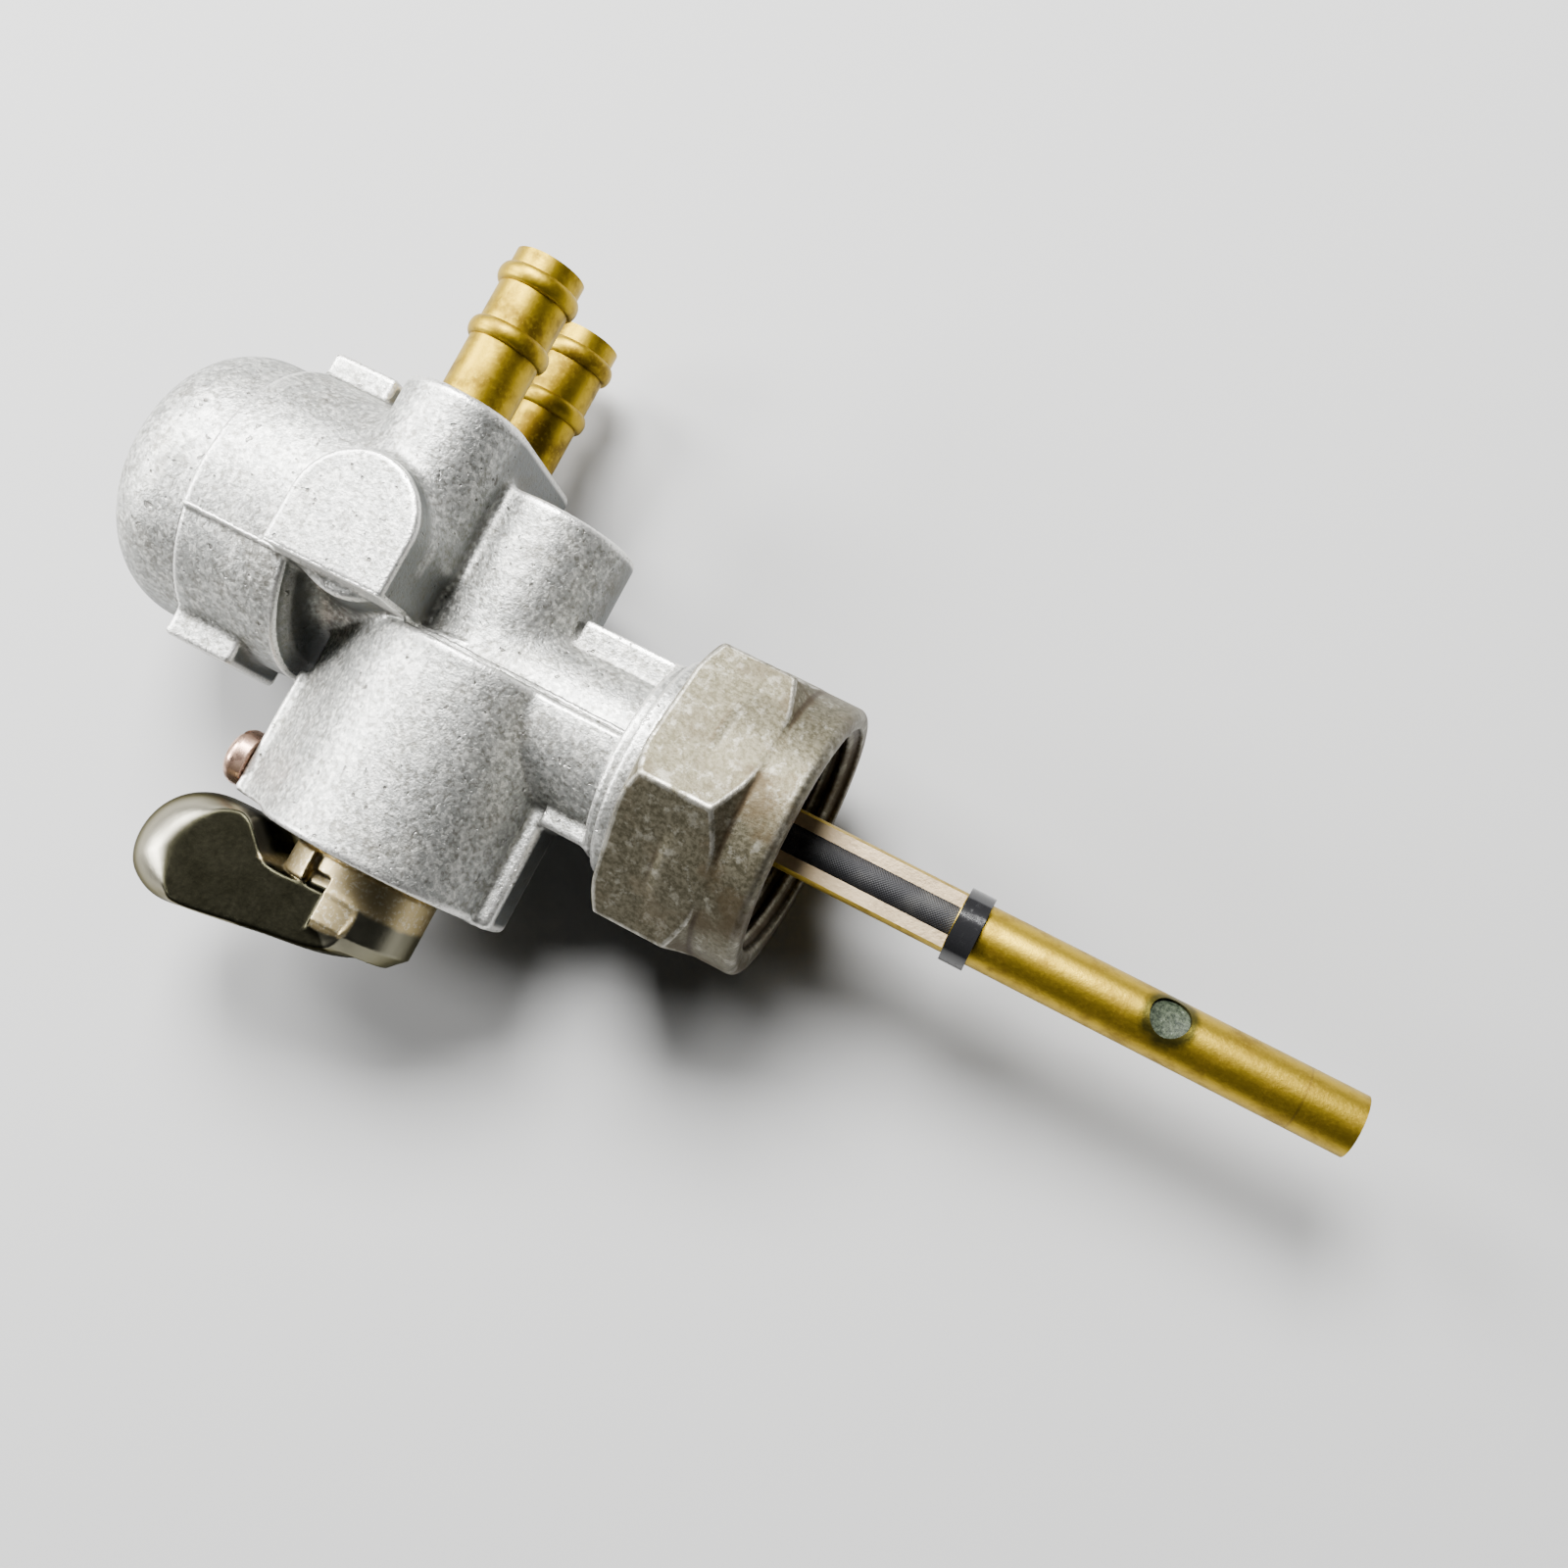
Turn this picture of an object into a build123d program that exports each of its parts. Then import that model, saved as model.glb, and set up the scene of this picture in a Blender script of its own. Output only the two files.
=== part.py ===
"""Motorcycle fuel tap with two hose outlets, a turning lever and a union nut, in millimetres.

Frame: the origin is the centre of the union seat. +X runs along the standpipe into the tank,
+Y points out of the two hose outlets and +Z faces up from the bench that the loose tap lies on.
"""

import os

from build123d import *

os.makedirs("parts", exist_ok=True)

# Running and assembly clearances
bore_clearance = 0.05
face_clearance = 0.3
seal_clearance = 0.04

# Union: the spigot that the nut turns on, its flange and the retaining ring
spigot_radius = 9.0
flange_radius = 11.2
flange_step_radius = 10.2
flange_back = -8.4
flange_step = -7.2
flange_front = -5.5
ring_wire_radius = 0.75
ring_seat_depth = 0.6
ring_sweep = 340.0
lip_thickness = 2.6

# Union nut
nut_flats = 27.0
nut_turn = 37.0
nut_back = flange_front + face_clearance
nut_hex_front = 3.6
nut_end = 9.3
nut_collar_radius = 13.6
nut_thread_radius = 11.4
nut_mouth_chamfer = 0.8
nut_corner_chamfer = 1.2
nut_edge_round = 0.7

# Union gasket
gasket_thickness = 1.5
gasket_inner_radius = 5.2

# Standpipe and its strainer
pipe_radius = 3.0
pipe_bore_radius = 2.0
pipe_tip = 64.0
pipe_socket_depth = 11.0
window_start = 3.2
window_end = 25.0
window_flat = 1.45
main_hole_place = 45.6
main_hole_radius = 1.9
main_hole_turn = 22.0
screen_wall = 0.55
screen_end = 26.8
band_start = 25.1
band_end = 27.5
band_radius = 3.65

# Neck between the union and the valve barrel
neck_radius = 7.7
neck_lower_radius = 8.5
neck_lower_top = 0.9
tab_start = -18.4
tab_start_lower = -13.2
tab_reach = 9.6
tab_thickness = 7.6

# Valve barrel, across the neck, and the chamber boss behind it
barrel_place = -26.2
barrel_radius = 12.0
barrel_end = -20.6
chamber_radius = 7.9
chamber_end = 17.3
chamber_flat = 5.4
cast_round = 0.5
valve_bore_radius = 7.2
valve_floor = -4.0
screw_pad_reach = 15.9
screw_pad_ledge = 1.0
screw_pad_width = 4.2
screw_pad_start = -6.9
rib_reach = 13.3
rib_overhang = 0.1
rib_width = 5.6
rib_start = -5.3
pad_end_gap = 0.5

# Cup housing: an off-centre collar whose upper half stands proud along the die line
cup_axis = 5.9
die_line = 1.3
collar_radius = 14.1
collar_upper_radius = 14.5
collar_left = -54.5
collar_right = -43.0
collar_upper_right = -39.5
collar_round = 2.2
lug_reach_lower = 15.8
lug_thickness_lower = 10.4
lug_reach_upper = 16.7
lug_thickness_upper = 6.8
lug_length = 7.3
trunk_radius = 9.2
trunk_axis = 6.6
web_start = 0.0
web_end = 15.5
web_top = 2.8
web_bottom = -8.0

# Cross passage boss and the twin outlet boss
cross_place = -37.8
cross_axis = 6.7
cross_radius = 6.7
cross_top = 13.2
cross_bottom = -15.0
arch_radius = 6.3
arch_top = 17.0
outlet_place = -36.9
outlet_spread = 7.76
outlet_boss_radius = 6.4
outlet_boss_end = 21.9
passage_radius = 2.2

# Hose outlets, pressed into the boss
outlet_radius = 3.58
outlet_bore_radius = 2.5
outlet_tip = 37.7
outlet_socket_depth = 8.0
bead_radius = 4.15
bead_width = 1.9
bead_places = (29.2, 35.1)

# Cup, screwed into the collar
cup_wall = 2.0
cup_radius = 13.9
cup_height = 12.4
cup_apex = collar_left - cup_height
cup_shoulder_length = 6.6
cup_shoulder_drop = 4.2
cup_crown_height = 2.6
cup_thread_radius = 11.4
cup_thread_length = 6.0
cup_ring_radius = 0.9
cup_screen_thickness = 0.8

# Lever: hub, shaft and finger blade in one casting
hub_radius = 6.8
hub_gap = 0.4
hub_start = barrel_end - hub_gap
hub_end = -28.4
hub_chamfer = 1.4
shaft_radius = valve_bore_radius - bore_clearance
lever_ring_radius = 0.7
lever_ring_place = -13.2
screw_groove_width = 3.4
screw_groove_depth = 1.1
blade_thickness = 12.0
blade_round = 2.0
blade_reach = 22.4
blade_outer_at_hub = -29.6
blade_heel = -32.7
heel_inset = 5.0
heel_reach = blade_reach - heel_inset
heel_slope = 0.17
blade_tip_middle = -27.2
tip_length = 7.4
tip_start_reach = blade_reach - tip_length
blade_shoulder = -22.5
shoulder_inset = 2.4
shoulder_reach = blade_reach - shoulder_inset
blade_hump = -21.0
hump_reach = 13.6
hump_start_reach = 9.7
blade_notch = -24.1
notch_reach = 6.8

# Valve seal and its spring washer, in the chamber under the lever's shaft
seal_thickness = 2.6
seal_hole_radius = 1.3
seal_hole_circle = 3.9
spring_wire = 0.7

# Lever retaining screw
screw_place = -17.0
screw_head_radius = 2.9
screw_head_height = 2.4
screw_shank_radius = 1.5
screw_slot_width = 0.8
screw_slot_depth = 1.0
screw_slot_turn = 35.0


def across_x(x):
    """Plane square to the union axis, with Y to its right and Z up."""
    return Plane.YZ.offset(x)


def across_y(y):
    """Plane square to the lever axis, with X to its right and Z up; extrusions run to -Y."""
    return Plane.XZ.offset(-y)


def finish(piece, name):
    """Label a finished piece and write its STEP file."""
    piece.label = name
    export_step(piece, f"parts/{name}.step")


# Valve body: one zinc die casting
cup_seat = collar_left + cup_thread_length
pipe_socket_end = -pipe_socket_depth
ring_place = nut_back + lip_thickness + face_clearance + ring_wire_radius
ring_groove_radius = spigot_radius - ring_seat_depth
outlet_socket = outlet_boss_end - outlet_socket_depth
screw_pad_face = barrel_place - screw_pad_reach

with BuildPart() as valve_body:
    # Neck and union spigot, stepped up to the flange behind the nut
    with BuildSketch(Plane.XY):
        with BuildLine():
            Polyline(
                (barrel_place, 0), (barrel_place, neck_radius), (flange_back, neck_radius),
                (flange_back, flange_step_radius), (flange_step, flange_step_radius),
                (flange_step, flange_radius), (flange_front, flange_radius),
                (flange_front, spigot_radius), (0, spigot_radius), (0, 0), close=True,
            )
        make_face()
    revolve(axis=Axis.X)

    # Cup collar, lower half of the die
    with BuildSketch(across_x(collar_left)):
        with Locations((cup_axis, 0)):
            Circle(collar_radius)
    extrude(amount=collar_right - collar_left)
    fillet(edges(Select.LAST).sort_by(Axis.X)[-1], collar_round)

    # Lever barrel with its screw pad and rib, and the chamber boss on the far side
    with BuildSketch(across_y(barrel_end)):
        with Locations((barrel_place, 0)):
            Circle(barrel_radius)
    extrude(amount=barrel_end)
    fillet(faces().sort_by(Axis.Y)[0].edges(), cast_round)
    with BuildSketch(across_y(barrel_end + pad_end_gap)):
        with Locations((barrel_place, 0)):
            Circle(barrel_radius)
            Rectangle(screw_pad_reach - screw_pad_ledge, screw_pad_width, align=(Align.MAX, Align.CENTER))
        make_hull()
    extrude(amount=barrel_end + pad_end_gap)
    with BuildSketch(across_y(barrel_end + pad_end_gap)):
        with Locations((barrel_place - valve_bore_radius, 0)):
            Rectangle(screw_pad_reach - valve_bore_radius, screw_pad_width, align=(Align.MAX, Align.CENTER))
    extrude(amount=barrel_end + pad_end_gap - screw_pad_start)
    with BuildSketch(across_y(barrel_end - rib_overhang)):
        with Locations((barrel_place + valve_bore_radius, 0)):
            Rectangle(rib_reach - valve_bore_radius, rib_width, align=(Align.MIN, Align.CENTER))
    extrude(amount=barrel_end - rib_overhang - rib_start)
    with BuildSketch(across_y(0)):
        with Locations((barrel_place, 0)):
            Circle(chamber_radius)
        with Locations((barrel_place - chamber_flat, 0)):
            Rectangle(2 * chamber_radius, 2 * chamber_radius,
                      align=(Align.MAX, Align.CENTER), mode=Mode.SUBTRACT)
    extrude(amount=-chamber_end)
    fillet(faces().sort_by(Axis.Y)[-1].edges(), cast_round)

    # Trunk from the barrel to the cup collar: round below the die line and a low web above it
    with BuildSketch(across_x(collar_right)):
        with Locations((trunk_axis, 0)):
            Circle(trunk_radius)
        with Locations((die_line, 0)):
            Rectangle(2 * trunk_radius, 2 * trunk_radius,
                      align=(Align.MIN, Align.CENTER), mode=Mode.SUBTRACT)
    extrude(amount=barrel_place - collar_right)
    with BuildSketch(Plane.XY.offset(web_bottom)):
        with Locations((collar_right, web_start)):
            Rectangle(barrel_place - collar_right, web_end - web_start, align=(Align.MIN, Align.MIN))
    extrude(amount=web_top - web_bottom)

    # Upper half of the collar, a little larger than the lower half, and the spanner lugs
    with BuildSketch(across_x(collar_left)):
        with Locations((cup_axis, 0)):
            Circle(collar_upper_radius)
        with Locations((die_line, 0)):
            Rectangle(2 * collar_upper_radius, 2 * collar_upper_radius,
                      align=(Align.MAX, Align.CENTER), mode=Mode.SUBTRACT)
    extrude(amount=collar_upper_right - collar_left)
    for reach, thickness, side in ((lug_reach_lower, lug_thickness_lower, Align.MAX),
                                   (lug_reach_upper, lug_thickness_upper, Align.MIN)):
        with BuildSketch(across_x(collar_left)):
            with Locations((cup_axis, 0)):
                Rectangle(reach, thickness, align=(side, Align.CENTER))
        extrude(amount=lug_length)

    # Cross passage boss, with an arched face that stops at the die line
    with BuildSketch(Plane.XY.offset(cross_bottom)):
        with Locations((cross_place, cross_axis)):
            Circle(cross_radius)
    extrude(amount=cross_top - cross_bottom)
    with BuildSketch(Plane.XY):
        with Locations((cross_place, cross_axis)):
            Circle(arch_radius)
            Rectangle(2 * arch_radius, cross_axis - die_line, align=(Align.CENTER, Align.MAX))
        with Locations((cross_place, die_line)):
            Rectangle(4 * arch_radius, 4 * arch_radius,
                      align=(Align.CENTER, Align.MAX), mode=Mode.SUBTRACT)
    extrude(amount=arch_top)
    fillet(faces().sort_by(Axis.Z)[-1].edges(), cast_round)

    # Twin outlet boss
    with BuildSketch(across_y(cross_axis)):
        with Locations((outlet_place, 0)):
            SlotCenterToCenter(2 * outlet_spread, 2 * outlet_boss_radius, rotation=90)
    extrude(amount=-(outlet_boss_end - cross_axis))
    fillet(faces().filter_by(Axis.Y).sort_by(Axis.Y)[-2].edges(), cast_round)

    # Side tabs by the flange, and the lower half of the neck, a little larger than the upper
    with BuildSketch(Plane.XY.offset(-tab_thickness / 2)):
        with Locations((flange_back, 0)):
            Rectangle(flange_back - tab_start, tab_reach, align=(Align.MAX, Align.MIN))
            Rectangle(flange_back - tab_start_lower, tab_reach, align=(Align.MAX, Align.MAX))
    extrude(amount=tab_thickness)
    with BuildSketch(across_x(barrel_place)):
        Circle(neck_lower_radius)
        with Locations((neck_lower_top, 0)):
            Rectangle(2 * neck_lower_radius, 2 * neck_lower_radius,
                      align=(Align.MIN, Align.CENTER), mode=Mode.SUBTRACT)
    extrude(amount=flange_back - barrel_place)

    # Bores: valve chamber, standpipe socket, fuel ways, outlet sockets and cup chamber
    with BuildSketch(across_y(barrel_end)):
        with Locations((barrel_place, 0)):
            Circle(valve_bore_radius)
    extrude(amount=barrel_end - valve_floor, mode=Mode.SUBTRACT)
    with BuildSketch(across_x(0)):
        Circle(pipe_radius)
    extrude(amount=-pipe_socket_depth, mode=Mode.SUBTRACT)
    with BuildSketch(across_x(pipe_socket_end)):
        Circle(pipe_bore_radius)
    extrude(amount=barrel_place + seal_hole_circle - pipe_socket_end, mode=Mode.SUBTRACT)
    with BuildSketch(across_y(valve_floor)):
        with Locations((barrel_place, 0)):
            with PolarLocations(seal_hole_circle, 2):
                Circle(seal_hole_radius)
    extrude(amount=valve_floor - cross_axis, mode=Mode.SUBTRACT)
    with BuildSketch(across_x(cup_seat)):
        with Locations((cross_axis, 0)):
            Circle(passage_radius)
    extrude(amount=barrel_place - seal_hole_circle - cup_seat, mode=Mode.SUBTRACT)
    with BuildSketch(Plane.XY.offset(-outlet_spread)):
        with Locations((outlet_place, cross_axis)):
            Circle(passage_radius)
    extrude(amount=2 * outlet_spread, mode=Mode.SUBTRACT)
    with BuildSketch(across_y(outlet_boss_end)):
        with Locations((outlet_place, -outlet_spread), (outlet_place, outlet_spread)):
            Circle(outlet_radius)
    extrude(amount=outlet_socket_depth, mode=Mode.SUBTRACT)
    with BuildSketch(across_y(outlet_socket)):
        with Locations((outlet_place, -outlet_spread), (outlet_place, outlet_spread)):
            Circle(passage_radius)
    extrude(amount=outlet_socket - cross_axis, mode=Mode.SUBTRACT)
    with BuildSketch(across_x(collar_left)):
        with Locations((cup_axis, 0)):
            Circle(cup_thread_radius)
    extrude(amount=cup_thread_length, mode=Mode.SUBTRACT)

    # Groove for the nut's retaining ring, and the threaded hole for the lever screw
    with BuildSketch(across_x(ring_place - ring_wire_radius)):
        Circle(spigot_radius)
        Circle(ring_groove_radius, mode=Mode.SUBTRACT)
    extrude(amount=2 * ring_wire_radius, mode=Mode.SUBTRACT)
    with BuildSketch(across_x(screw_pad_face)):
        with Locations((screw_place, 0)):
            Circle(screw_shank_radius)
    extrude(amount=screw_pad_reach - valve_bore_radius / 2, mode=Mode.SUBTRACT)
finish(valve_body.part, "valve_body")

# Union nut: hexagon with a turned collar, an inner lip and a threaded bore
nut_corner_radius = nut_flats / 3**0.5
with BuildPart() as union_nut:
    with BuildSketch(across_x(nut_back)):
        RegularPolygon(nut_corner_radius, 6, rotation=nut_turn)
    extrude(amount=nut_hex_front - nut_back)
    with BuildSketch(Plane.XY):
        with BuildLine():
            Polyline(
                (nut_back, nut_flats / 2), (nut_back, nut_corner_radius + nut_corner_chamfer),
                (nut_back + nut_corner_chamfer, nut_corner_radius + nut_corner_chamfer),
                (nut_back + nut_corner_chamfer, nut_corner_radius), close=True,
            )
        make_face()
    revolve(axis=Axis.X, mode=Mode.SUBTRACT)
    with BuildSketch(across_x(nut_hex_front)):
        Circle(nut_collar_radius)
    extrude(amount=nut_end - nut_hex_front)
    fillet(edges(Select.LAST).sort_by(Axis.X)[-1], nut_edge_round)
    with BuildSketch(across_x(nut_back)):
        Circle(spigot_radius + face_clearance)
    extrude(amount=nut_end - nut_back, mode=Mode.SUBTRACT)
    with BuildSketch(across_x(nut_back + lip_thickness)):
        Circle(nut_thread_radius)
    extrude(amount=nut_end - nut_back - lip_thickness, mode=Mode.SUBTRACT)
    chamfer(faces().sort_by(Axis.X)[-1].edges().sort_by(SortBy.LENGTH)[0], nut_mouth_chamfer)
finish(union_nut.part, "union_nut")

# Retaining ring: a sprung wire with a gap, in the spigot's groove
ring_circle = ring_groove_radius + ring_wire_radius
with BuildPart() as nut_retaining_ring:
    with BuildSketch(Plane.XY):
        with Locations((ring_place, ring_circle)):
            Circle(ring_wire_radius)
    revolve(axis=Axis.X, revolution_arc=ring_sweep)
finish(nut_retaining_ring.part, "nut_retaining_ring")

# Union gasket: a fibre washer that seals on the tank's spigot
with BuildPart() as union_gasket:
    with BuildSketch(across_x(0)):
        Circle(spigot_radius)
        Circle(gasket_inner_radius, mode=Mode.SUBTRACT)
    extrude(amount=gasket_thickness)
finish(union_gasket.part, "union_gasket")

# Standpipe: thick brass tube with a milled window and one cross hole
with BuildPart() as standpipe:
    with BuildSketch(across_x(pipe_socket_end)):
        Circle(pipe_radius)
        Circle(pipe_bore_radius, mode=Mode.SUBTRACT)
    extrude(amount=pipe_tip - pipe_socket_end)
    with BuildSketch(Plane.XY.offset(window_flat)):
        with Locations((window_start, 0)):
            Rectangle(window_end - window_start, 2 * pipe_radius, align=(Align.MIN, Align.CENTER))
    extrude(amount=pipe_radius, mode=Mode.SUBTRACT)
    hole_plane = Plane.XY.rotated((-main_hole_turn, 0, 0))
    with BuildSketch(hole_plane):
        with Locations((main_hole_place, 0)):
            Circle(main_hole_radius)
    extrude(amount=2 * pipe_radius, mode=Mode.SUBTRACT)
finish(standpipe.part, "standpipe")

# Strainer: a dark gauze sleeve inside the pipe, held by a band over the window's end
screen_radius = pipe_bore_radius - bore_clearance
with BuildPart() as strainer_screen:
    with BuildSketch(across_x(window_start)):
        Circle(screen_radius)
        Circle(screen_radius - screen_wall, mode=Mode.SUBTRACT)
    extrude(amount=screen_end - window_start)
finish(strainer_screen.part, "strainer_screen")
with BuildPart() as strainer_band:
    with BuildSketch(across_x(band_start)):
        Circle(band_radius)
        Circle(pipe_radius, mode=Mode.SUBTRACT)
    extrude(amount=band_end - band_start)
finish(strainer_band.part, "strainer_band")


def hose_outlet(height):
    """Brass hose outlet at one height: a tube along Y with two rounded beads."""
    with BuildPart() as outlet:
        with BuildSketch(Plane.XY.offset(height)):
            with BuildLine():
                Polyline(
                    (outlet_place + outlet_bore_radius, outlet_socket),
                    (outlet_place + outlet_radius, outlet_socket),
                    (outlet_place + outlet_radius, outlet_tip),
                    (outlet_place + outlet_bore_radius, outlet_tip), close=True,
                )
            make_face()
            for place in bead_places:
                with Locations((outlet_place + outlet_bore_radius, place)):
                    Rectangle(outlet_radius - outlet_bore_radius, bead_width,
                              align=(Align.MIN, Align.CENTER))
                with Locations((outlet_place + outlet_radius, place)):
                    Ellipse(bead_radius - outlet_radius, bead_width / 2)
        revolve(axis=Axis((outlet_place, 0, height), (0, 1, 0)))
    return outlet.part


finish(hose_outlet(outlet_spread), "outlet_upper")
finish(hose_outlet(-outlet_spread), "outlet_lower")

# Lever: finger blade, hub and grooved shaft in one plated casting
shaft_end = valve_floor - seal_thickness - spring_wire - face_clearance
with BuildPart() as lever:
    with BuildSketch(Plane.XY.offset(-blade_thickness / 2)):
        with BuildLine():
            edge = Spline(
                (barrel_place - notch_reach, blade_notch),
                (barrel_place - hump_start_reach, (blade_hump + blade_notch) / 2),
                (barrel_place - hump_reach, blade_hump),
                (barrel_place - shoulder_reach, blade_shoulder),
                (barrel_place - blade_reach, blade_tip_middle),
                (barrel_place - heel_reach, blade_heel),
                tangents=((-1, 0), (1, heel_slope)),
            )
            Polyline(
                edge @ 1, (barrel_place, blade_outer_at_hub), (barrel_place, blade_notch), edge @ 0,
            )
        make_face()
    extrude(amount=blade_thickness)
    fillet(edges().filter_by(GeomType.BSPLINE), blade_round)
    with BuildSketch(across_y(blade_heel - hub_gap)):
        with Locations((barrel_place - tip_start_reach, 0)):
            Ellipse(blade_reach - tip_start_reach + hub_gap, blade_thickness / 2)
            Rectangle(2 * tip_start_reach, blade_thickness, align=(Align.MIN, Align.CENTER))
    extrude(amount=blade_heel - hub_gap, mode=Mode.INTERSECT)
    with BuildSketch(Plane.XY):
        with BuildLine():
            Polyline(
                (barrel_place, shaft_end), (barrel_place + shaft_radius, shaft_end),
                (barrel_place + shaft_radius, hub_start), (barrel_place + hub_radius, hub_start),
                (barrel_place + hub_radius, hub_end + hub_chamfer),
                (barrel_place + hub_radius - hub_chamfer, hub_end), (barrel_place, hub_end), close=True,
            )
        make_face()
    revolve(axis=Axis((barrel_place, 0, 0), (0, 1, 0)))
    with BuildSketch(across_y(screw_place + screw_groove_width / 2)):
        with Locations((barrel_place, 0)):
            Circle(shaft_radius)
            Circle(shaft_radius - screw_groove_depth, mode=Mode.SUBTRACT)
    extrude(amount=screw_groove_width, mode=Mode.SUBTRACT)
    with BuildSketch(across_y(lever_ring_place + lever_ring_radius)):
        with Locations((barrel_place, 0)):
            Circle(shaft_radius)
            Circle(valve_bore_radius - 2 * lever_ring_radius - seal_clearance, mode=Mode.SUBTRACT)
    extrude(amount=2 * lever_ring_radius, mode=Mode.SUBTRACT)
finish(lever.part, "lever")

# Rubber ring round the lever's shaft
with BuildPart() as lever_o_ring:
    with BuildSketch(Plane.XY):
        with Locations((barrel_place + valve_bore_radius - seal_clearance - lever_ring_radius, lever_ring_place)):
            Circle(lever_ring_radius)
    revolve(axis=Axis((barrel_place, 0, 0), (0, 1, 0)))
finish(lever_o_ring.part, "lever_o_ring")

# Four-hole valve seal on the chamber floor, and the spring washer that loads it
seal_top = valve_floor - seal_thickness
with BuildPart() as valve_seal:
    with BuildSketch(across_y(valve_floor)):
        with Locations((barrel_place, 0)):
            Circle(valve_bore_radius - bore_clearance)
            with PolarLocations(seal_hole_circle, 4):
                Circle(seal_hole_radius, mode=Mode.SUBTRACT)
    extrude(amount=seal_thickness)
finish(valve_seal.part, "valve_seal")
with BuildPart() as spring_washer:
    with BuildSketch(across_y(seal_top)):
        with Locations((barrel_place, 0)):
            Circle(valve_bore_radius - face_clearance)
            Circle(valve_bore_radius - face_clearance - 2 * spring_wire, mode=Mode.SUBTRACT)
    extrude(amount=spring_wire)
finish(spring_washer.part, "spring_washer")

# Lever retaining screw, whose tip runs in the shaft's groove
screw_tip = barrel_place - shaft_radius + screw_groove_depth / 2
with BuildPart() as lever_screw:
    with BuildSketch(across_x(screw_pad_face)):
        with Locations((screw_place, 0)):
            Circle(screw_head_radius)
    extrude(amount=-screw_head_height)
    fillet(edges(Select.LAST).sort_by(Axis.X)[0], screw_head_height / 2)
    with BuildSketch(across_x(screw_pad_face)):
        with Locations((screw_place, 0)):
            Circle(screw_shank_radius)
    extrude(amount=screw_tip - screw_pad_face)
    with BuildSketch(across_x(screw_pad_face - screw_head_height)):
        with Locations((screw_place, 0)):
            Rectangle(2 * screw_head_radius, screw_slot_width, rotation=screw_slot_turn)
    extrude(amount=screw_slot_depth, mode=Mode.SUBTRACT)
finish(lever_screw.part, "lever_screw")

# Cup: a domed zinc bowl on a hollow threaded stub
cup_shoulder = cup_apex + cup_crown_height
cup_dome_start = cup_shoulder + cup_shoulder_length
cup_stub_radius = cup_thread_radius - bore_clearance
crown_width = cup_radius - cup_shoulder_drop
crown_radius = (crown_width**2 + cup_crown_height**2) / (2 * cup_crown_height)
with BuildPart() as cup:
    with BuildSketch(Plane.XY):
        with BuildLine():
            Polyline(
                (cup_apex, cup_axis), (cup_seat, cup_axis), (cup_seat, cup_axis + cup_stub_radius),
                (collar_left, cup_axis + cup_stub_radius), (collar_left, cup_axis + cup_radius),
                (cup_dome_start, cup_axis + cup_radius),
            )
            shoulder = TangentArc(
                (cup_dome_start, cup_axis + cup_radius),
                (cup_shoulder, cup_axis + crown_width), tangent=(-1, 0),
            )
            RadiusArc(shoulder @ 1, (cup_apex, cup_axis), -crown_radius)
        make_face()
    revolve(axis=Axis((0, cup_axis, 0), (1, 0, 0)))
    with BuildSketch(across_x(cup_seat)):
        with Locations((cup_axis, 0)):
            Circle(cup_thread_radius - cup_wall)
    extrude(amount=cup_dome_start - cup_seat, mode=Mode.SUBTRACT)
    with BuildSketch(Plane.XY):
        with Locations((collar_left + cup_ring_radius, cup_axis + cup_thread_radius)):
            Rectangle(2 * cup_ring_radius, 2 * cup_ring_radius + seal_clearance,
                      align=(Align.CENTER, Align.MAX))
    revolve(axis=Axis((0, cup_axis, 0), (1, 0, 0)), mode=Mode.SUBTRACT)
finish(cup.part, "cup")

# Rubber ring under the cup's flange, and the gauze disc across the cup's mouth
with BuildPart() as cup_o_ring:
    with BuildSketch(Plane.XY):
        with Locations((collar_left + cup_ring_radius,
                        cup_axis + cup_thread_radius - seal_clearance - cup_ring_radius)):
            Circle(cup_ring_radius)
    revolve(axis=Axis((0, cup_axis, 0), (1, 0, 0)))
finish(cup_o_ring.part, "cup_o_ring")
with BuildPart() as cup_screen:
    with BuildSketch(across_x(cup_seat - cup_screen_thickness)):
        with Locations((cup_axis, 0)):
            Circle(cup_thread_radius - cup_wall)
            Circle(passage_radius, mode=Mode.SUBTRACT)
    extrude(amount=cup_screen_thickness)
finish(cup_screen.part, "cup_screen")
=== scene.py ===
"""Studio picture of a motorcycle fuel tap lying on a pale floor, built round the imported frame."""

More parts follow.
